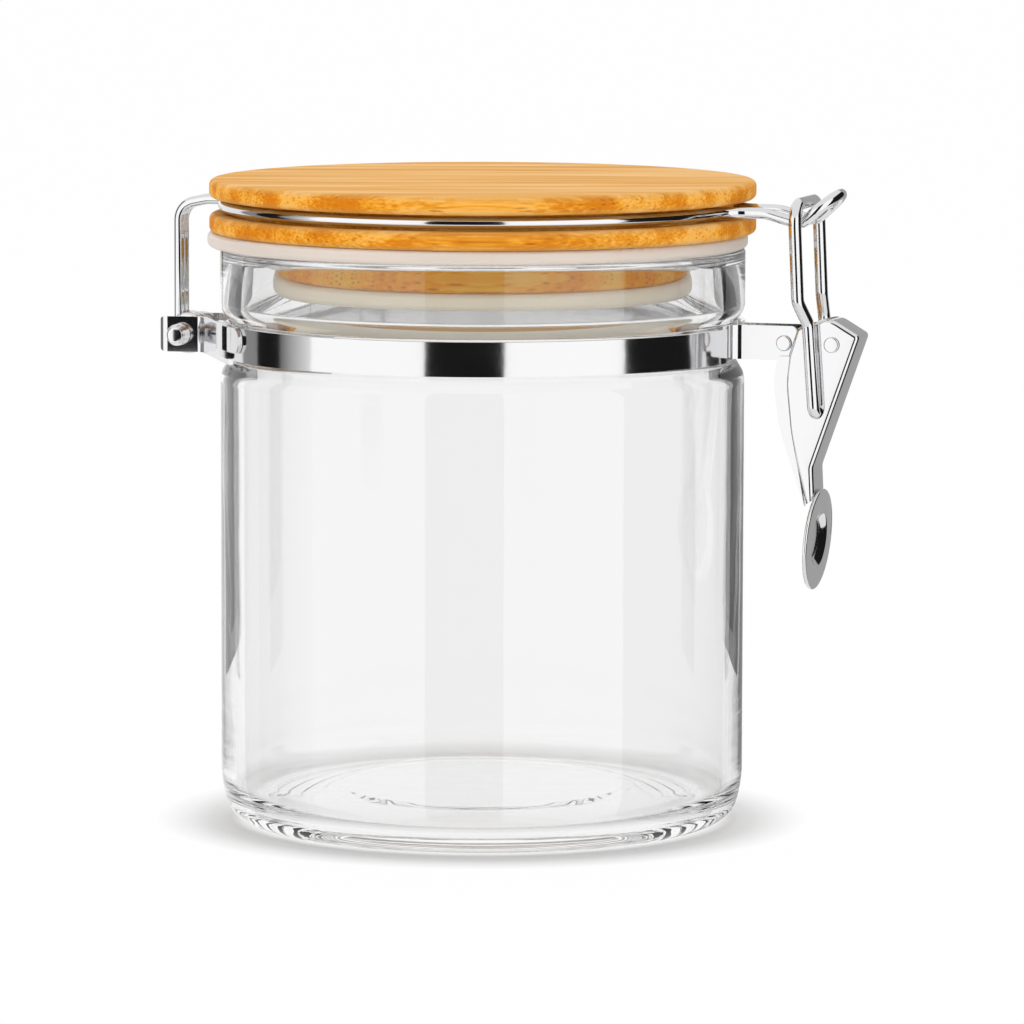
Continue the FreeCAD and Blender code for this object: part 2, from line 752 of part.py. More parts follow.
def swept_wire(name, edges, wire_size, start, direction):
    """Sweep a round wire section along the path; its radius stays bound to the sheet."""
    path = doc.addObject("Part::Feature", name + "_path")
    path.Shape = Part.Wire(Part.sortEdges(edges)[0])
    section = doc.addObject("Part::Circle", name + "_section")
    section.Radius = num(wire_size)
    section.setExpression("Radius", formula(wire_size))
    section.Placement = Placement(start, Rotation(Vector(0, 0, 1), direction))
    sweep = doc.addObject("Part::Sweep", name)
    sweep.Label = name
    sweep.Sections = [section]
    sweep.Spine = (path, ["Edge%d" % (i + 1) for i in range(len(path.Shape.Edges))])
    sweep.Solid = True
    sweep.Frenet = False
    doc.recompute()
    expected = math.pi * num(wire_size) ** 2 * path.Shape.Length
    print("%s: length %.1f, volume %.1f, section times length %.1f"
          % (name, path.Shape.Length, sweep.Shape.Volume, expected))
    return sweep


# bail: one wire from the hinge bolt, round the lid groove to the nose and back
groove_mid = num("0.5*groove_low + 0.5*groove_high")
ring_radius = num("groove_radius + bail_gap + bail_wire")
leg_y = num("0.5*bail_leg_spacing")
leg_x = -num("hinge_x + bail_leg_out")
eye_radius = num("bolt_radius + pin_clearance + bail_wire")
eye_rise = math.sqrt(eye_radius ** 2 - num("bail_leg_out") ** 2)
entry_round = num("bail_entry_round")
entry_x = -math.sqrt((ring_radius + entry_round) ** 2 - (leg_y + entry_round) ** 2)
exit_round = num("nose_exit_round")
nose_y = num("nose_half")
exit_x = math.sqrt((ring_radius + exit_round) ** 2 - (nose_y + exit_round) ** 2)

leg_foot = Vector(leg_x, -leg_y, num("hinge_z") + eye_rise)
entry_point = Vector(entry_x, -leg_y, groove_mid)
hinge_run = rounded_run(
    [leg_foot, Vector(leg_x, -leg_y, num("bail_elbow_z")),
     Vector(-num("bail_run_x"), -leg_y, groove_mid), entry_point],
    [0, num("bail_elbow_round"), 5.0, 0])
entry_centre = Vector(entry_x, -leg_y - entry_round, groove_mid)
ring_first = (entry_centre - Vector(0, 0, groove_mid)) * (ring_radius / (ring_radius + entry_round))
ring_first.z = groove_mid
entry_bend = arc_about(entry_centre, entry_point, ring_first, entry_round)
exit_centre = Vector(exit_x, -nose_y - exit_round, groove_mid)
ring_last = (exit_centre - Vector(0, 0, groove_mid)) * (ring_radius / (ring_radius + exit_round))
ring_last.z = groove_mid
exit_point = Vector(exit_x, -nose_y, groove_mid)
exit_bend = arc_about(exit_centre, ring_last, exit_point, exit_round)
ring_run = Part.Arc(ring_first, Vector(0, -ring_radius, groove_mid), ring_last).toShape()
valley = Vector(num("nose_valley_x"), -nose_y, num("nose_valley_z"))
rise = Vector(num("nose_rise_x"), -nose_y, num("nose_rise_z"))
nose_run = rounded_run(
    [exit_point, Vector(num("nose_flat_x"), -nose_y, groove_mid), valley, rise],
    [0, 8.0, 2.6, 0])
climb = rise - valley
climb.normalize()
tip = Vector(rise.x, 0, rise.z) + climb * nose_y
nose_bend = Part.Arc(rise, tip, Vector(rise.x, nose_y, rise.z)).toShape()
half_bail = hinge_run + [entry_bend, ring_run, exit_bend] + nose_run
bail_wire = swept_wire("lid_bail_wire", half_bail + [nose_bend] + mirrored(half_bail),
                       "bail_wire", leg_foot, Vector(0, 0, 1))

eyes = []
for side in (-1, 1):
    eye = doc.addObject("Part::Torus", "bail_eye_near" if side < 0 else "bail_eye_far")
    eye.Radius1 = eye_radius
    eye.setExpression("Radius1", formula("bolt_radius + pin_clearance + bail_wire"))
    eye.Radius2 = num("bail_wire")
    eye.setExpression("Radius2", formula("bail_wire"))
    eye.Placement = Placement(Vector(-num("hinge_x"), side * leg_y, num("hinge_z")),
                              Rotation(Vector(1, 0, 0), 90))
    eyes.append(eye)
lid_bail = doc.addObject("Part::MultiFuse", "lid_bail")
lid_bail.Label = "lid_bail"
lid_bail.Shapes = [bail_wire] + eyes

# link: a closed-top loop whose two ends turn in through the lever's cheeks
low_y = num("link_low_half")
top_y = num("link_top_half")
pin_end = Vector(num("pin_x"), -num("link_end_half"), num("pin_z"))
half_link = rounded_run(
    [pin_end,
     Vector(num("pin_x"), -low_y, num("pin_z")),
     Vector(num("link_jog_x"), -low_y, num("link_jog_z")),
     Vector(num("link_knee_x"), -top_y, num("link_knee_z")),
     Vector(num("link_top_x"), -top_y, num("link_top_z")),
     Vector(num("link_top_x"), 0, num("link_top_z"))],
    [0, 1.6, 2.6, 2.6, num("link_top_round"), 0])
clasp_link = swept_wire("clasp_link", half_link + mirrored(half_link),
                        "link_wire", pin_end, Vector(0, 1, 0))

# ---------------------------------------------------------------- lever
clasp_lever = new_body("clasp_lever")
# outlines as offsets from the pivot: along X, along Z, and the corner's radius
LEVER_OUTLINE = [
    (-3.9, -29.6, None), (-4.9, -30.3, None), (-8.4, -16.3, 25.0), (-9.2, -7.3, 18.0),
    (-8.5, -2.3, 9.0), (-6.8, 2.9, 1.0), (-3.3, 4.3, 6.0), (-0.3, 5.0, 4.0),
    (5.3, 1.7, 0.9), (-3.6, -23.3, 3.0), (-3.3, -29.6, None),
]
LIP_OUTLINE = [
    (-5.0, -30.6, None), (-10.0, -16.0, 30.0), (-11.2, -6.8, 18.0), (-10.3, -2.4, None),
    (-8.0, -2.4, None), (-8.6, -7.3, 18.0), (-7.7, -16.3, 25.0),
]
CAVITY_OUTLINE = [
    (-14.0, 8.0, None), (-14.0, -36.0, None), (-4.15, -36.0, None), (-4.35, -23.2, 2.0),
    (4.35, 1.25, 0.3), (-0.4, 4.05, None), (-0.4, 8.0, None),
]


def from_pivot(outline):
    corners = []
    for along, up, radius in outline:
        x = "pivot_x %s %s" % ("+" if along >= 0 else "-", abs(along))
        z = "clasp_ear_z %s %s" % ("+" if up >= 0 else "-", abs(up))
        corners.append((x, z) if radius is None else (x, z, str(radius)))
    return corners


cheek_side = new_sketch(clasp_lever, "XZ_Plane", "cheeks")
draw_outline(cheek_side, from_pivot(LEVER_OUTLINE))
blank = pad(clasp_lever, cheek_side, "lever_width", both_ways=True)
# the sheet is bent over with a soft edge where the web turns into the cheeks
doc.recompute()
bends = []
for number, edge in enumerate(blank.Shape.Edges, 1):
    middle = edge.CenterOfMass
    if (abs(abs(middle.y) - num("0.5*lever_width")) < 0.001
            and middle.x > num("pivot_x - 0.2*lever_width")):
        bends.append("Edge%d" % number)
bend_fillet = clasp_lever.newObject("PartDesign::Fillet", "sheet_bend")
bend_fillet.Base = (blank, bends)
bend_fillet.setExpression("Radius", formula("lever_edge"))
lip_side = new_sketch(clasp_lever, "XZ_Plane", "lips")
draw_outline(lip_side, from_pivot(LIP_OUTLINE))
pad(clasp_lever, lip_side, "lever_width + 2*lip_stand", both_ways=True)
cavity_side = new_sketch(clasp_lever, "XZ_Plane", "cavity")
draw_outline(cavity_side, from_pivot(CAVITY_OUTLINE))
pocket(clasp_lever, cavity_side, "lever_width - 2*clasp_sheet")

tab_offset = Placement(Vector(num("tab_x"), num("tab_z"), 0),
                       Rotation(Vector(0, 0, 1), -num("tab_lean")))
tab_side = new_sketch(clasp_lever, "XZ_Plane", "tab", tab_offset)
tab_side.setExpression("AttachmentOffset.Base.x", formula("tab_x"))
tab_side.setExpression("AttachmentOffset.Base.y", formula("tab_z"))
front = "0.5*clasp_sheet"
back = "- 0.5*clasp_sheet"
draw_outline(tab_side, [
    (back + " - dimple_depth", "0"),
    (front + " - dimple_depth", "0"),
    (front + " - dimple_depth", "dimple_radius - 1.6", "1.4"),
    (front, "dimple_radius", "0.9"),
    (front, "tab_radius", "0.35"),
    (back, "tab_radius", "0.35"),
    (back, "dimple_radius + 0.3", "1.2"),
    (back + " - dimple_depth", "dimple_radius - 1.2", "2.0"),
])
revolve(clasp_lever, tab_side, axis="H_Axis")

lever_holes = new_sketch(clasp_lever, "XZ_Plane", "holes")
draw_circle(lever_holes, "pivot_x", "clasp_ear_z", "rivet_radius + pin_clearance")
draw_circle(lever_holes, "pin_x", "pin_z", "link_wire + pin_clearance")
pocket(clasp_lever, lever_holes, "2*lever_width")

# ---------------------------------------------------------------- write the pieces
doc.recompute()
NODES = [
    glass_jar, neck_band_near, neck_band_far, hinge_clip_near, hinge_clip_far,
    hinge_bolt, band_rivet,
    lever_rivet, lid_disc, lid_plug, plug_gasket, rim_gasket, lid_bail, clasp_link,
    clasp_lever,
]
for item in doc.Objects:
    if "Invalid" in item.State or "Error" in item.State:
        raise RuntimeError("%s failed: %s" % (item.Name, item.State))
os.makedirs("parts", exist_ok=True)
for node in NODES:
    shape = node.Shape
    if shape.isNull() or not shape.isValid() or len(shape.Solids) != 1:
        raise RuntimeError("%s has %d solids" % (node.Label, len(shape.Solids)))
    box = shape.BoundBox
    print("%-16s volume %9.1f  X %.2f..%.2f  Y %.2f..%.2f  Z %.2f..%.2f"
          % (node.Label, shape.Volume, box.XMin, box.XMax, box.YMin, box.YMax, box.ZMin, box.ZMax))
    shape.exportStep("parts/%s.step" % node.Label)
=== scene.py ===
"""Glass storage jar with a bamboo clip-top lid, dressed and lit for a studio picture.

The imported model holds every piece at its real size. This script remakes the pieces whose
surfaces need finer modelling, dresses all of them, and sets up the floor, lights and camera.
Lengths are in metres unless a name ends in MM or _mm.
"""
from __future__ import annotations

import logging
import math
from dataclasses import dataclass
from enum import Enum

import bpy
from mathutils import Matrix, Vector

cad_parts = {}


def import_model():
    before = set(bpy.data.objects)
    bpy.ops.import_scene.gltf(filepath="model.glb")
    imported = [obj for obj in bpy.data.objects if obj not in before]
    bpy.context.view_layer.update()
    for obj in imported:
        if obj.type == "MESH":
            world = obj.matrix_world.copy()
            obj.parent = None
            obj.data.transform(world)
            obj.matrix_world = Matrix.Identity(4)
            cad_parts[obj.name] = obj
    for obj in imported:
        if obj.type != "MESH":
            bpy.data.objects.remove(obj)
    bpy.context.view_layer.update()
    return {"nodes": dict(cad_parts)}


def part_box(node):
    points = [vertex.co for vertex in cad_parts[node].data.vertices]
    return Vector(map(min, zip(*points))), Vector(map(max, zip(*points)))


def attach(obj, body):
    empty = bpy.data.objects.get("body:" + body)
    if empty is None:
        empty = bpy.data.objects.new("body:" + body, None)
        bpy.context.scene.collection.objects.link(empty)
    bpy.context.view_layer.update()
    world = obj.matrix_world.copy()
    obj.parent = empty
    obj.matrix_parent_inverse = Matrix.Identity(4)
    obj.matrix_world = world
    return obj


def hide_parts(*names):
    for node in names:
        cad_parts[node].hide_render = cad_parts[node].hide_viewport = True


LOG = logging.getLogger("storage_jar")
MM = 0.001
# rays that never meet a card
UNSEEN = ("camera", "diffuse", "shadow", "volume_scatter")


# ------------------------------------------------------------------ materials
def linear(hex_code: str, alpha: float = 1.0) -> tuple[float, float, float, float]:
    """Turn an sRGB hex value into a linear colour.

    Args:
        hex_code: six hex digits, with or without a leading hash.
        alpha: the fourth channel.

    Returns:
        Linear red, green, blue and the alpha.
    """
    digits = hex_code.lstrip("#")
    channels = []
    for start in (0, 2, 4):
        value = int(digits[start:start + 2], 16) / 255.0
        channels.append(value / 12.92 if value <= 0.04045 else ((value + 0.055) / 1.055) ** 2.4)
    return channels[0], channels[1], channels[2], alpha


def node(tree: bpy.types.NodeTree, kind: str, settings: dict | None = None,
         **links: object) -> bpy.types.Node:
    """Add one shader node.

    Args:
        tree: the node tree that gets it.
        kind: the node's type name, such as "ShaderNodeTexNoise".
        settings: attributes to set, and values of input sockets under their socket names or
            numbers.
        links: input sockets, with underscores for spaces, and the output sockets they read.

    Returns:
        The new node.
    """
    made = tree.nodes.new(kind)
    for key, value in (settings or {}).items():
        if isinstance(key, int) or key in made.inputs:
            made.inputs[key].default_value = value
        else:
            setattr(made, key, value)
    for key, source in links.items():
        name = key.replace("_", " ")
        index = int(name[1:]) if name[0] == "i" and name[1:].isdigit() else name
        tree.links.new(source, made.inputs[index])
    return made


def ramp(tree: bpy.types.NodeTree, source: bpy.types.NodeSocket,
         stops: list[tuple[float, str]]) -> bpy.types.NodeSocket:
    """Map a factor to colours.

    Args:
        tree: the node tree.
        source: the factor.
        stops: positions from 0 to 1, and sRGB hex colours.

    Returns:
        The colour output.
    """
    made = node(tree, "ShaderNodeValToRGB", Fac=source)
    elements = made.color_ramp.elements
    while len(elements) < len(stops):
        elements.new(0.5)
    for element, (position, code) in zip(elements, stops):
        element.position = position
        element.color = linear(code)
    return made.outputs["Color"]


def start_material(name: str) -> tuple[bpy.types.Material, bpy.types.NodeTree, bpy.types.Node]:
    """Make an empty material with an output node.

    Args:
        name: the finish's plain name.

    Returns:
        The material, its node tree and its output node.
    """
    material = bpy.data.materials.new(name)
    material.use_nodes = True
    tree = material.node_tree
    tree.nodes.clear()
    return material, tree, tree.nodes.new("ShaderNodeOutputMaterial")


def seen_plainly(tree: bpy.types.NodeTree) -> bpy.types.NodeSocket:
    """Return a factor that is 1 for camera, glossy and transmitted rays, and 0 for the rest."""
    path = node(tree, "ShaderNodeLightPath")
    direct = node(tree, "ShaderNodeMath", {"operation": "MAXIMUM"},
                  i0=path.outputs["Is Camera Ray"], i1=path.outputs["Is Transmission Ray"])
    shown = node(tree, "ShaderNodeMath", {"operation": "MAXIMUM"},
                 i0=direct.outputs["Value"], i1=path.outputs["Is Glossy Ray"])
    return shown.outputs["Value"]


@dataclass(frozen=True)
class ClearGlass:
    """Soda-lime glass, blown into a mould: clear, with a faint grey cast and soft waves."""

    ior: float = 1.5
    cast: str = "#F9F9F9"
    wave_mm: float = 14.0
    wave_depth_mm: float = 1.0
    wave_strength: float = 0.03

    def build(self) -> bpy.types.Material:
        """Return the material."""
        material, tree, out = start_material("soda_lime_glass")
        place = node(tree, "ShaderNodeTexCoord")
        wave = node(tree, "ShaderNodeTexNoise",
                    {"Scale": 1.0 / (self.wave_mm * MM), "Detail": 1.0},
                    Vector=place.outputs["Object"])
        bump = node(tree, "ShaderNodeBump",
                    {"Strength": self.wave_strength, "Distance": self.wave_depth_mm * MM},
                    Height=wave.outputs["Fac"])
        shader = node(tree, "ShaderNodeBsdfPrincipled",
                      {"Base Color": linear(self.cast), "Roughness": 0.0, "IOR": self.ior,
                       "Transmission Weight": 1.0},
                      Normal=bump.outputs["Normal"])
        tree.links.new(shader.outputs[0], out.inputs["Surface"])
        return material


@dataclass(frozen=True)
class PolishedSteel:
    """Stainless steel strip and wire, barrel polished: a mirror with a little drag and dimple."""

    colour: str = "#DCDCDD"
    roughness: tuple[float, float] = (0.054, 0.135)
    wear_mm: float = 6.0
    dimple_mm: float = 3.0
    dimple_depth_mm: float = 0.2
    dimple_strength: float = 0.04

    def build(self) -> bpy.types.Material:
        """Return the material."""
        material, tree, out = start_material("polished_stainless_steel")
        place = node(tree, "ShaderNodeTexCoord")
        wear = node(tree, "ShaderNodeTexNoise",
                    {"Scale": 1.0 / (self.wear_mm * MM), "Detail": 6.0},
                    Vector=place.outputs["Object"])
        rough = node(tree, "ShaderNodeMapRange",
                     {"To Min": self.roughness[0], "To Max": self.roughness[1]},
                     Value=wear.outputs["Fac"])
        dimple = node(tree, "ShaderNodeTexNoise",
                      {"Scale": 1.0 / (self.dimple_mm * MM), "Detail": 2.0},
                      Vector=place.outputs["Object"])
        bump = node(tree, "ShaderNodeBump",
                    {"Strength": self.dimple_strength, "Distance": self.dimple_depth_mm * MM},
                    Height=dimple.outputs["Fac"])
        shader = node(tree, "ShaderNodeBsdfPrincipled",
                      {"Base Color": linear(self.colour), "Metallic": 1.0},
                      Roughness=rough.outputs["Result"], Normal=bump.outputs["Normal"])
        tree.links.new(shader.outputs[0], out.inputs["Surface"])
        return material


@dataclass(frozen=True)
class Bamboo:
    """Laminated bamboo, turned and oiled: long fibres on the face, cut bundles on the edge.

    It is warm and even from afar. Close to, glued strips, fibres and dark bundles show. The
    fibres are drawn far coarser than real ones, which are too fine to show.
    """

    name: str = "oiled_bamboo"
    grain_angle: float = 17.0
    strip_mm: float = 5.5
    strip_length_mm: float = 70.0
    fibre_mm: float = 0.45
    fibre_length_mm: float = 25.0
    fibre_share: float = 0.36
    fibre_depth_mm: float = 0.1
    # level faces get paler tones than upright edges: partly the cut of the grain, partly painted
    # light, the face drawn as if lit from above with a sheen
    face: tuple[str, str, str] = ("#CE9042", "#DDA554", "#E6BA7E")
    face_stops: tuple[float, float, float] = (0.38, 0.50, 0.62)
    edge: tuple[str, str, str] = ("#D87E0C", "#EA9A22", "#F6B44E")
    edge_stops: tuple[float, float, float] = (0.42, 0.50, 0.58)
    bundle_mm: float = 0.85
    bundle_length_mm: float = 45.0
    bundle_colour: str = "#A85C14"
    # how far from its middle a bundle is fully dark, and where it ends, as shares of the spacing
    bundle_core: float = 0.12
    bundle_rim: float = 0.32
    # ranges of random values over which bundles go from missing to full
    picked: tuple[float, float] = (0.1, 0.7)
    unbroken: tuple[float, float] = (0.36, 0.60)
    bundles_on_edge: float = 0.75
    bundles_on_face: float = 0.15

    def stretched(self, tree: bpy.types.NodeTree, along: bpy.types.NodeSocket,
                  length_mm: float, width_mm: float) -> bpy.types.NodeSocket:
        """Return coordinates that stretch a pattern along the grain.

        Args:
            tree: the node tree.
            along: coordinates whose X runs along the grain.
            length_mm: the pattern's size along the grain.
            width_mm: its size across the grain.

        Returns:
            The coordinates to give the pattern.
        """
        across = 1.0 / (width_mm * MM)
        scaled = node(tree, "ShaderNodeMapping",
                      {"Scale": (1.0 / (length_mm * MM), across, across)}, Vector=along)
        return scaled.outputs["Vector"]

    def ground(self, tree: bpy.types.NodeTree, along: bpy.types.NodeSocket,
               fibre: bpy.types.NodeSocket,
               flat: bpy.types.NodeSocket) -> bpy.types.NodeSocket:
        """Colour the wood between its bundles: paler tones on level faces and deeper ones on
        upright edges, partly the grain and partly painted light.

        Args:
            tree: the node tree.
            along: coordinates whose X runs along the grain.
            fibre: the tone of the fibres.
            flat: 1 where the surface is level and 0 where it is upright.

        Returns:
            The colour.
        """
        # glued strips differ in tone
        strip = node(tree, "ShaderNodeTexNoise", {"Scale": 1.0, "Detail": 2.0, "Roughness": 0.6},
                     Vector=self.stretched(tree, along, self.strip_length_mm, self.strip_mm))
        tone = node(tree, "ShaderNodeMix", {"data_type": "FLOAT", "Factor": self.fibre_share},
                    i2=strip.outputs["Fac"], i3=fibre)
        face = ramp(tree, tone.outputs[0], list(zip(self.face_stops, self.face)))
        edge = ramp(tree, tone.outputs[0], list(zip(self.edge_stops, self.edge)))
        # paler face tones against deeper edge tones: partly grain, partly painted light
        return node(tree, "ShaderNodeMix", {"data_type": "RGBA"},
                    i0=flat, i6=edge, i7=face).outputs[2]

    def bundles(self, tree: bpy.types.NodeTree, along: bpy.types.NodeSocket,
                flat: bpy.types.NodeSocket) -> bpy.types.NodeSocket:
        """Place the dark bundles: dots where they are cut, and dashes where they lie bare.

        Args:
            tree: the node tree.
            along: coordinates whose X runs along the grain.
            flat: 1 where the surface is level and 0 where it is upright.

        Returns:
            How strongly a bundle shows.
        """
        parts = node(tree, "ShaderNodeSeparateXYZ", Vector=along)
        section = node(tree, "ShaderNodeCombineXYZ", X=parts.outputs["Y"], Y=parts.outputs["Z"])
        cells = node(tree, "ShaderNodeTexVoronoi",
                     {"voronoi_dimensions": "2D", "Scale": 1.0 / (self.bundle_mm * MM),
                      "Randomness": 0.8}, Vector=section.outputs["Vector"])
        dark = node(tree, "ShaderNodeMapRange",
                    {"From Min": self.bundle_core, "From Max": self.bundle_rim,
                     "To Min": 1.0, "To Max": 0.0}, Value=cells.outputs["Distance"])
        chance = node(tree, "ShaderNodeSeparateColor", Color=cells.outputs["Color"])
        picked = node(tree, "ShaderNodeMapRange",
                      {"From Min": self.picked[0], "From Max": self.picked[1]},
                      Value=chance.outputs["Red"])
        run = node(tree, "ShaderNodeTexNoise", {"Scale": 1.0, "Detail": 1.0},
                   Vector=self.stretched(tree, along, self.bundle_length_mm,
                                         2.0 * self.bundle_mm))
        unbroken = node(tree, "ShaderNodeMapRange",
                        {"From Min": self.unbroken[0], "From Max": self.unbroken[1]},
                        Value=run.outputs["Fac"])
        fainter = node(tree, "ShaderNodeMapRange",
                       {"To Min": self.bundles_on_edge, "To Max": self.bundles_on_face},
                       Value=flat)
        strength = dark.outputs["Result"]
        for share in (picked, unbroken, fainter):
            strength = node(tree, "ShaderNodeMath", {"operation": "MULTIPLY"},
                            i0=strength, i1=share.outputs["Result"]).outputs["Value"]
        return strength

    def build(self) -> bpy.types.Material:
        """Return the material."""
        material, tree, out = start_material(self.name)
        place = node(tree, "ShaderNodeTexCoord")
        along = node(tree, "ShaderNodeMapping",
                     {"Rotation": (0.0, 0.0, math.radians(-self.grain_angle))},
                     Vector=place.outputs["Object"]).outputs["Vector"]
        fibre = node(tree, "ShaderNodeTexNoise", {"Scale": 1.0, "Detail": 3.0},
                     Vector=self.stretched(tree, along, self.fibre_length_mm,
                                           self.fibre_mm)).outputs["Fac"]
        normal = node(tree, "ShaderNodeNewGeometry")
        facing = node(tree, "ShaderNodeSeparateXYZ", Vector=normal.outputs["Normal"])
        flat = node(tree, "ShaderNodeMath", {"operation": "ABSOLUTE"},
                    i0=facing.outputs["Z"]).outputs["Value"]
        colour = node(tree, "ShaderNodeMix",
                      {"data_type": "RGBA", 7: linear(self.bundle_colour)},
                      i0=self.bundles(tree, along, flat),
                      i6=self.ground(tree, along, fibre, flat))
        bump = node(tree, "ShaderNodeBump",
                    {"Strength": 0.25, "Distance": self.fibre_depth_mm * MM}, Height=fibre)
        shader = node(tree, "ShaderNodeBsdfPrincipled",
                      {"Roughness": 0.6, "Specular IOR Level": 0.06},
                      Base_Color=colour.outputs[2], Normal=bump.outputs["Normal"])
        tree.links.new(shader.outputs[0], out.inputs["Surface"])
        return material


@dataclass(frozen=True)
class Silicone:
    """Cast silicone rubber: milky, with light spread inside its edges, and a soft shine."""

    name: str = "milky_silicone"
    colour: str = "#DDD1C6"
    cloud_mm: float = 5.0
    glow_depth_mm: float = 1.5

    def build(self) -> bpy.types.Material:
        """Return the material."""
        material, tree, out = start_material(self.name)
        place = node(tree, "ShaderNodeTexCoord")
        cloud = node(tree, "ShaderNodeTexNoise",
                     {"Scale": 1.0 / (self.cloud_mm * MM), "Detail": 3.0},
                     Vector=place.outputs["Object"])
        rough = node(tree, "ShaderNodeMapRange", {"To Min": 0.34, "To Max": 0.5},
                     Value=cloud.outputs["Fac"])
        shader = node(tree, "ShaderNodeBsdfPrincipled",
                      {"Base Color": linear(self.colour), "Subsurface Weight": 0.5,
                       "Subsurface Radius": (1.0, 0.8, 0.7),
                       "Subsurface Scale": self.glow_depth_mm * MM},
                      Roughness=rough.outputs["Result"])
        tree.links.new(shader.outputs[0], out.inputs["Surface"])
        return material


# ------------------------------------------------------------------ modelling helpers
def clear_selection() -> None:
    """Leave every object out of edit mode and unselected."""
    if bpy.context.object and bpy.context.object.mode != "OBJECT":
        bpy.ops.object.mode_set(mode="OBJECT")
    bpy.ops.object.select_all(action="DESELECT")


def dress(piece: bpy.types.Object, material: bpy.types.Material) -> None:
    """Give a piece one material."""
    piece.data.materials.clear()
    piece.data.materials.append(material)


def smooth_node(piece: bpy.types.Object, angle: float = 32.0) -> None:
    """Join a node's loose triangles for shading only, and keep its real edges crisp.

    Args:
        piece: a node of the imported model.
        angle: the least angle in degrees that counts as an edge.
    """
    piece.data.polygons.foreach_set("use_smooth", [True] * len(piece.data.polygons))
    weld = piece.modifiers.new("join", "WELD")
    weld.merge_threshold = 1e-6
    split = piece.modifiers.new("edges", "EDGE_SPLIT")
    split.split_angle = math.radians(angle)


def draw_line(name: str, points: list[Vector]) -> bpy.types.Object:
    """Extrude one vertex along a line of points.

    Args:
        name: the new piece's name.
        points: where the line goes.

    Returns:
        A piece that holds only the line.
    """
    clear_selection()
    bpy.ops.mesh.primitive_plane_add(size=MM, location=(0.0, 0.0, 0.0))
    piece = bpy.context.object
    piece.name = name
    bpy.ops.object.mode_set(mode="EDIT")
    bpy.ops.mesh.select_all(action="SELECT")
    bpy.ops.mesh.merge(type="CENTER")
    bpy.ops.transform.translate(value=points[0])
    for start, end in zip(points, points[1:]):
        bpy.ops.mesh.extrude_region_move(TRANSFORM_OT_translate={"value": end - start})
    bpy.ops.object.mode_set(mode="OBJECT")
    return piece


def round_corner(piece: bpy.types.Object, corner: Vector, reach: float, parts: int) -> None:
    """Round one corner of a line.

    Args:
        piece: the piece that holds the line.
        corner: where the corner is.
        reach: how far from the corner the rounding starts.
        parts: the number of straight parts in the rounding.
    """
    for vertex in piece.data.vertices:
        vertex.select = (vertex.co - corner).length < 1e-7
    for edge in piece.data.edges:
        edge.select = False
    bpy.ops.object.mode_set(mode="EDIT")
    bpy.ops.mesh.select_mode(type="VERT")
    bpy.ops.mesh.bevel(offset=reach, offset_type="OFFSET", affect="VERTICES", segments=parts,
                       profile=0.5, clamp_overlap=False)
    bpy.ops.object.mode_set(mode="OBJECT")


def spin_round(piece: bpy.types.Object, steps: int) -> None:
    """Turn a line about the upright axis into a closed skin.

    Args:
        piece: the piece that holds the line.
        steps: the number of steps round.
    """
    bpy.ops.object.mode_set(mode="EDIT")
    bpy.ops.mesh.select_all(action="SELECT")
    bpy.ops.mesh.spin(steps=steps, angle=math.tau, center=(0.0, 0.0, 0.0), axis=(0.0, 0.0, 1.0))
    bpy.ops.mesh.select_all(action="SELECT")
    bpy.ops.mesh.remove_doubles(threshold=0.002 * MM)
    bpy.ops.mesh.normals_make_consistent(inside=False)
    bpy.ops.object.mode_set(mode="OBJECT")
    bpy.ops.object.shade_smooth_by_angle(angle=math.radians(40.0))


# ------------------------------------------------------------------ studio
class Card(Enum):
    """What a card shows a mirror or a clear edge: its glow at its left and right edges."""

    SOFT_BOX = (1.32, 1.32)
    BLACK = (0.012, 0.012)
    GREY = (0.30, 0.30)
    FALL_OFF = (0.16, 0.95)
    DIM = (0.43, 0.43)
    FLAG = (0.03, 0.03)


@dataclass(frozen=True)
class SoftBox:
    """A lamp that faces the jar. Its azimuth counts from the camera's side, in degrees."""

    name: str
    azimuth: float
    distance: float
    height: float
    size: tuple[float, float]
    watts: float


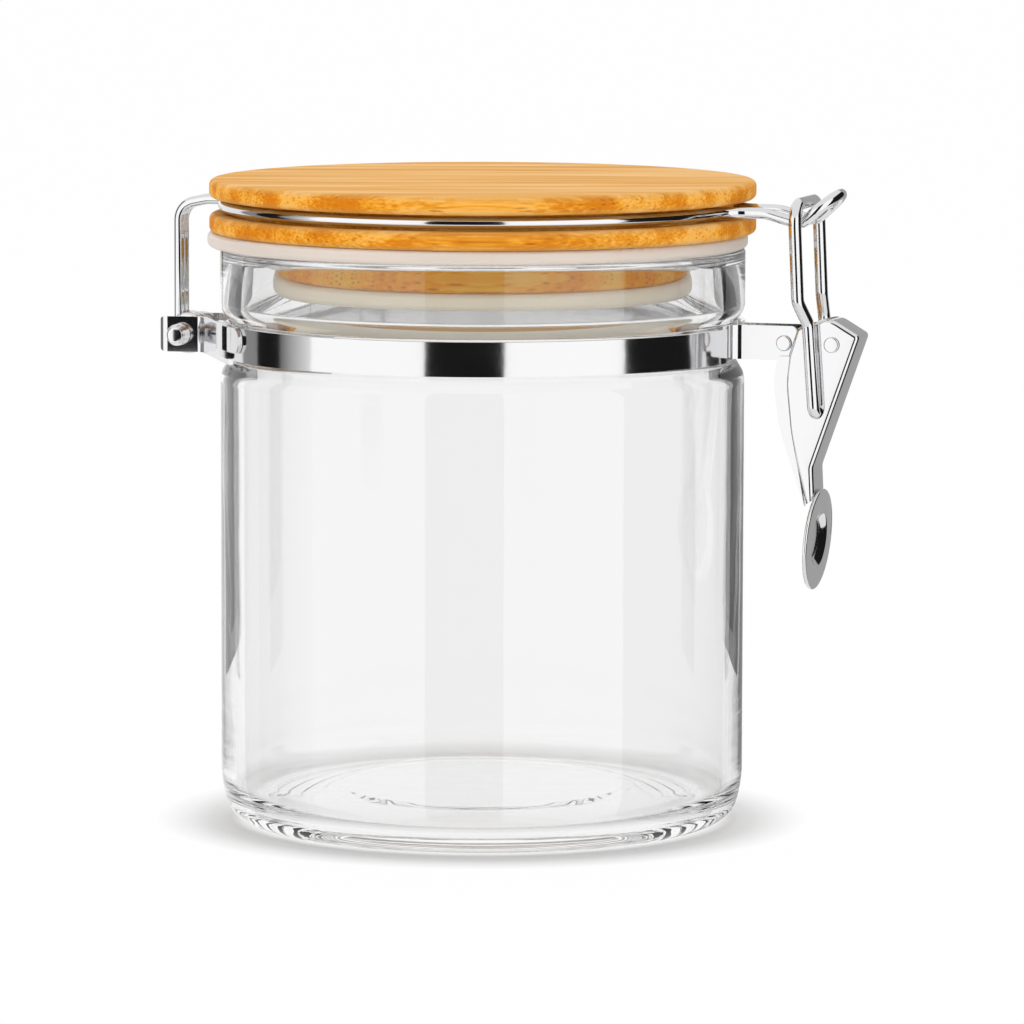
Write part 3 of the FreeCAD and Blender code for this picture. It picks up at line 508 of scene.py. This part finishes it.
@dataclass
class Studio:
    """Floor, lamps, cards and camera of the picture."""

    azimuth: float = 17.0
    tilt: float = 6.49
    roll: float = 0.13
    lens_mm: float = 243.03
    camera_at: tuple[float, float, float] = (0.3900, -1.2562, 0.20853)
    world_strength: float = 0.80
    card_radius: float = 3.0
    card_low: float = -1.6
    card_high: float = 2.6
    # first and last azimuth from the camera's side, and what stands between them
    cards: tuple[tuple[float, float, Card], ...] = (
        (-128.0, -114.5, Card.GREY), (-114.5, -98.0, Card.BLACK), (-98.0, -79.0, Card.FALL_OFF),
        (-79.0, -24.5, Card.SOFT_BOX), (-24.5, 9.5, Card.BLACK), (9.5, 64.0, Card.SOFT_BOX),
        (64.0, 133.0, Card.BLACK), (133.0, 172.0, Card.DIM))
    flag_depth: float = 0.10
    flag_inner: float = 0.078
    flag_width: float = 0.07
    flag_low: float = 0.004
    flag_high: float = 0.15
    gobo_azimuth: float = -25.0
    gobo_reach: float = 0.03
    gobo_size: float = 0.014
    floor_size: float = 30.0
    floor_paper: str = "#E8E8E8"
    # how far the floor glows by itself, from the jar's axis out: radius in metres, share in grey;
    # painted light under the jar, and a ring of low glow round the foot where the shadow shows,
    # so that shadow is partly painted shadow
    floor_glow: tuple[tuple[float, str], ...] = (
        (0.042, "#F4F4F4"), (0.0455, "#E0E0E0"), (0.0482, "#303030"), (0.052, "#383838"),
        (0.057, "#C0C0C0"), (0.0625, "#FDFDFD"))
    floor_glow_reach: float = 0.1
    aim_height: float = 0.07
    lamps: tuple[SoftBox, ...] = (
        SoftBox("soft_box_left", -55.0, 1.0, 0.30, (0.9, 0.8), 2.6),
        SoftBox("soft_box_right", 38.0, 1.0, 0.30, (0.9, 0.8), 2.6),
        SoftBox("soft_box_top", 180.0, 0.45, 1.1, (0.5, 0.4), 3.6))

    def direction(self, azimuth: float) -> Vector:
        """Return the level direction at an azimuth counted from the camera's side."""
        angle = math.radians(self.azimuth + azimuth)
        return Vector((math.sin(angle), -math.cos(angle), 0.0))

    def add_camera(self) -> None:
        """Make the camera."""
        data = bpy.data.cameras.new("camera")
        data.lens = self.lens_mm
        data.sensor_width = 36.0
        data.clip_start = 0.05
        data.clip_end = 20.0
        camera = bpy.data.objects.new("camera", data)
        bpy.context.scene.collection.objects.link(camera)
        turn = Matrix.Rotation(math.radians(self.azimuth), 4, "Z")
        lean = Matrix.Rotation(math.radians(90.0 - self.tilt), 4, "X")
        twist = Matrix.Rotation(math.radians(self.roll), 4, "Z")
        camera.matrix_world = Matrix.Translation(self.camera_at) @ turn @ lean @ twist
        bpy.context.scene.camera = camera

    def add_world(self) -> None:
        """Make a plain white surround that lights a little less than it shows."""
        world = bpy.data.worlds.new("studio")
        bpy.context.scene.world = world
        world.use_nodes = True
        tree = world.node_tree
        tree.nodes.clear()
        shown = seen_plainly(tree)
        strength = node(tree, "ShaderNodeMapRange",
                        {"To Min": self.world_strength, "To Max": 1.0}, Value=shown)
        surround = node(tree, "ShaderNodeBackground", {"Color": (1.0, 1.0, 1.0, 1.0)},
                        Strength=strength.outputs["Result"])
        node(tree, "ShaderNodeOutputWorld", Surface=surround.outputs["Background"])

    def add_floor(self) -> None:
        """Lay white paper whose own glow leaves a soft shadow round the foot and is plain white
        far off; the glow is painted light under the jar, and the ring of shadow is partly painted
        shadow.
        """
        clear_selection()
        bpy.ops.mesh.primitive_plane_add(size=self.floor_size, location=(0.0, 0.0, 0.0))
        floor = bpy.context.object
        floor.name = "studio_floor"
        material, tree, out = start_material("white_paper")
        place = node(tree, "ShaderNodeTexCoord")
        reach = node(tree, "ShaderNodeVectorMath", {"operation": "LENGTH"},
                     i0=place.outputs["Object"])
        share_of_reach = node(tree, "ShaderNodeMath",
                              {"operation": "DIVIDE", 1: self.floor_glow_reach},
                              i0=reach.outputs["Value"])
        # glow share by distance: painted light under the jar, and a ring of low glow round the
        # foot that leaves a partly painted shadow
        glow_share = ramp(tree, share_of_reach.outputs["Value"],
                          [(radius / self.floor_glow_reach, grey)
                           for radius, grey in self.floor_glow])
        share = node(tree, "ShaderNodeMath", {"operation": "MULTIPLY"},
                     i0=seen_plainly(tree), i1=glow_share)
        paper = node(tree, "ShaderNodeBsdfDiffuse", {"Color": linear(self.floor_paper)})
        glow = node(tree, "ShaderNodeEmission", {"Color": (1.0, 1.0, 1.0, 1.0), "Strength": 1.0})
        mixed = node(tree, "ShaderNodeMixShader", i0=share.outputs["Value"],
                     i1=paper.outputs["BSDF"], i2=glow.outputs["Emission"])
        tree.links.new(mixed.outputs["Shader"], out.inputs["Surface"])
        dress(floor, material)
        floor.visible_glossy = False

    def add_panel(self, name: str, centre: Vector, facing: float, size: tuple[float, float],
                  kind: Card, hidden_from: tuple[str, ...]) -> None:
        """Stand a flat panel that only some rays see.

        Args:
            name: the panel's name.
            centre: its middle.
            facing: azimuth from the camera's side that its back looks to, in degrees.
            size: width and height.
            kind: how it glows from its left edge to its right edge.
            hidden_from: the kinds of ray that pass through it.
        """
        clear_selection()
        bpy.ops.mesh.primitive_plane_add(
            size=1.0, location=centre,
            rotation=(math.pi / 2.0, 0.0, math.radians(self.azimuth + facing)))
        panel = bpy.context.object
        panel.name = name
        panel.scale = (size[0], size[1], 1.0)
        bpy.ops.object.transform_apply(location=False, rotation=False, scale=True)
        material, tree, out = start_material(name)
        place = node(tree, "ShaderNodeTexCoord")
        across = node(tree, "ShaderNodeSeparateXYZ", Vector=place.outputs["Object"])
        tone = node(tree, "ShaderNodeMapRange",
                    {"From Min": -size[0] / 2.0, "From Max": size[0] / 2.0,
                     "To Min": kind.value[0], "To Max": kind.value[1]},
                    Value=across.outputs["X"])
        glow = node(tree, "ShaderNodeEmission", {"Color": (1.0, 1.0, 1.0, 1.0)},
                    Strength=tone.outputs["Result"])
        tree.links.new(glow.outputs["Emission"], out.inputs["Surface"])
        dress(panel, material)
        for ray in hidden_from:
            setattr(panel, "visible_" + ray, False)

    def add_cards(self) -> None:
        """Ring the set with cards for mirrors, and put flags behind for the clear glass."""
        middle_height = (self.card_low + self.card_high) / 2.0
        for first, last, kind in self.cards:
            middle = (first + last) / 2.0
            width = 2.0 * self.card_radius * math.tan(math.radians((last - first) / 2.0))
            centre = self.direction(middle) * self.card_radius
            centre.z = middle_height
            self.add_panel("card_%s_%d" % (kind.name.lower(), round(middle)), centre, middle,
                           (width, self.card_high - self.card_low), kind,
                           UNSEEN + ("transmission",))
        for side in (-1.0, 1.0):
            lateral = side * (self.flag_inner + self.flag_width / 2.0)
            centre = (self.direction(180.0) * self.flag_depth + self.direction(90.0) * lateral)
            centre.z = (self.flag_low + self.flag_high) / 2.0
            self.add_panel("flag_%s" % ("right" if side > 0 else "left"), centre, 0.0,
                           (self.flag_width, self.flag_high - self.flag_low), Card.FLAG,
                           UNSEEN + ("glossy",))

    def add_gobo(self) -> None:
        """Hold a small black card beside the hinge, for the ear's flat cheek to mirror."""
        low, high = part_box("hinge_bolt")
        ear = Vector((low[0] + high[0], 2.0 * low[1], low[2] + high[2])) / 2.0
        centre = ear + self.direction(self.gobo_azimuth) * self.gobo_reach
        self.add_panel("gobo_hinge", centre, self.gobo_azimuth, (self.gobo_size, self.gobo_size),
                       Card.BLACK, UNSEEN + ("transmission",))

    def add_lamp(self, box: SoftBox) -> None:
        """Hang a soft box that faces the jar and lights it, but isn't mirrored.

        Args:
            box: the lamp's name, place, size and power.
        """
        data = bpy.data.lights.new(box.name, "AREA")
        data.shape = "RECTANGLE"
        data.size, data.size_y = box.size
        data.energy = box.watts
        lamp = bpy.data.objects.new(box.name, data)
        bpy.context.scene.collection.objects.link(lamp)
        place = self.direction(box.azimuth) * box.distance + Vector((0.0, 0.0, box.height))
        aim = Vector((0.0, 0.0, self.aim_height)) - place
        lamp.matrix_world = (Matrix.Translation(place)
                             @ aim.to_track_quat("-Z", "Y").to_matrix().to_4x4())
        lamp.visible_glossy = False
        lamp.visible_transmission = False

    def build(self) -> None:
        """Set up the whole studio."""
        scene = bpy.context.scene
        scene.view_settings.view_transform = "Standard"
        # light turns many times inside the thick glass foot before it comes out
        scene.cycles.max_bounces = 32
        scene.cycles.glossy_bounces = 24
        scene.cycles.transmission_bounces = 32
        self.add_camera()
        self.add_world()
        self.add_floor()
        self.add_cards()
        self.add_gobo()
        for box in self.lamps:
            self.add_lamp(box)


# ------------------------------------------------------------------ the jar
@dataclass
class GlassBody:
    """The blown jar, turned as one closed wall from its section. Sizes in millimetres."""

    radius: float = 50.0
    wall: float = 2.3
    floor_thick: float = 2.8
    floor_low: float = 2.2
    floor_round: float = 6.0
    punt_radius: float = 28.0
    punt_rise: float = 3.2
    punt_round: float = 12.0
    foot_inset: float = 8.5
    foot_round: float = 3.0
    base_inset: float = 2.2
    base_round: float = 5.0
    base_height: float = 7.0
    side_round: float = 21.0
    shoulder: float = 85.8
    shoulder_round: float = 4.0
    shoulder_rise: float = 2.6
    shoulder_drop: float = 1.3
    relief_inset: float = 1.5
    relief_round: float = 0.3
    seat_inset: float = 0.7
    seat_height: float = 5.4
    seat_rise: float = 6.9
    seat_round: float = 0.2
    collar_rise: float = 10.5
    collar_slope: float = 1.9
    collar_round: float = 3.5
    collar_stand: float = 0.1
    rim_rise: float = 24.2
    rim_thick: float = 3.9
    rim_outer_round: float = 0.9
    rim_inner_round: float = 2.8
    neck_rise: float = 8.7
    neck_round: float = 6.0
    steps: int = 256
    arc_parts: int = 7

    def section(self) -> list[tuple[float, float, float]]:
        """Return the section's corners as radius, height and rounding."""
        inner = self.radius - self.wall
        relief = self.radius - self.relief_inset
        seat = self.radius - self.seat_inset
        seat_low = self.shoulder + self.seat_rise - self.seat_height / 2.0
        seat_high = seat_low + self.seat_height
        collar = self.radius + self.collar_stand
        collar_low = self.shoulder + self.collar_rise
        rim = self.shoulder + self.rim_rise
        mouth = collar - self.rim_thick
        floor_top = self.punt_rise + self.floor_thick
        return [
            (0.0, self.punt_rise, 0.0),
            (self.punt_radius, self.punt_rise, self.punt_round),
            (self.radius - self.foot_inset, 0.0, self.foot_round),
            (self.radius - self.base_inset, 0.0, self.base_round),
            (self.radius, self.base_height, self.side_round),
            (self.radius, self.shoulder, self.shoulder_round),
            (relief, self.shoulder + self.shoulder_rise, self.relief_round),
            (relief, seat_low, self.seat_round),
            (seat, seat_low, self.seat_round),
            (seat, seat_high, self.seat_round),
            (relief, seat_high, self.seat_round),
            (relief, collar_low, self.relief_round),
            (collar, collar_low + self.collar_slope, self.collar_round),
            (collar, rim, self.rim_outer_round),
            (mouth, rim, self.rim_inner_round),
            (mouth, self.shoulder + self.neck_rise, self.neck_round),
            (inner, self.shoulder - self.shoulder_drop, self.neck_round),
            (inner, self.floor_low, self.floor_round),
            (self.punt_radius, floor_top, self.punt_round),
            (0.0, floor_top, 0.0),
        ]

    def build(self, name: str) -> bpy.types.Object:
        """Model the jar.

        Args:
            name: the new piece's name.

        Returns:
            The finished piece.
        """
        corners = [(Vector((r * MM, 0.0, z * MM)), rounding * MM)
                   for r, z, rounding in self.section()]
        piece = draw_line(name, [point for point, _ in corners])
        for before, corner, after in zip(corners, corners[1:], corners[2:]):
            incoming = (corner[0] - before[0]).normalized()
            outgoing = (after[0] - corner[0]).normalized()
            reach = corner[1] * math.tan(incoming.angle(outgoing) / 2.0)
            if reach > 0.0:
                round_corner(piece, corner[0], reach, self.arc_parts)
        spin_round(piece, self.steps)
        return piece


@dataclass
class StorageJar:
    """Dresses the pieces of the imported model."""

    nodes: dict[str, bpy.types.Object]

    def build(self) -> None:
        """Give every node its finish."""
        glass = ClearGlass().build()
        steel = PolishedSteel().build()
        finishes = {
            "lid_disc": Bamboo().build(),
            # the plug's edge tones are brighter than the lid's: painted light, making up for the
            # shade under the lid
            "lid_plug": Bamboo(name="bamboo_painted_brighter",
                               edge=("#FA9C08", "#FFB024", "#FFC440")).build(),
            "rim_gasket": Silicone().build(),
            # the plug's gasket is drawn lighter than the rim gasket: painted light, for the shade
            # under the lid
            "plug_gasket": Silicone(name="silicone_painted_lighter", colour="#FFF0DA").build(),
        }
        for name, piece in self.nodes.items():
            if name == "glass_jar":
                continue
            dress(piece, finishes.get(name, steel))
            smooth_node(piece)
            LOG.info("dressed %s", name)
        body = GlassBody().build("blown_glass_body")
        dress(body, glass)
        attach(body, "jar")
        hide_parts("glass_jar")
        body.visible_shadow = False
        LOG.info("turned %s", body.name)


def main() -> None:
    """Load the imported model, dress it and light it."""
    logging.basicConfig(level=logging.INFO, format="%(message)s")
    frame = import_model()
    StorageJar(frame["nodes"]).build()
    Studio().build()


if __name__ == "__main__":
    main()
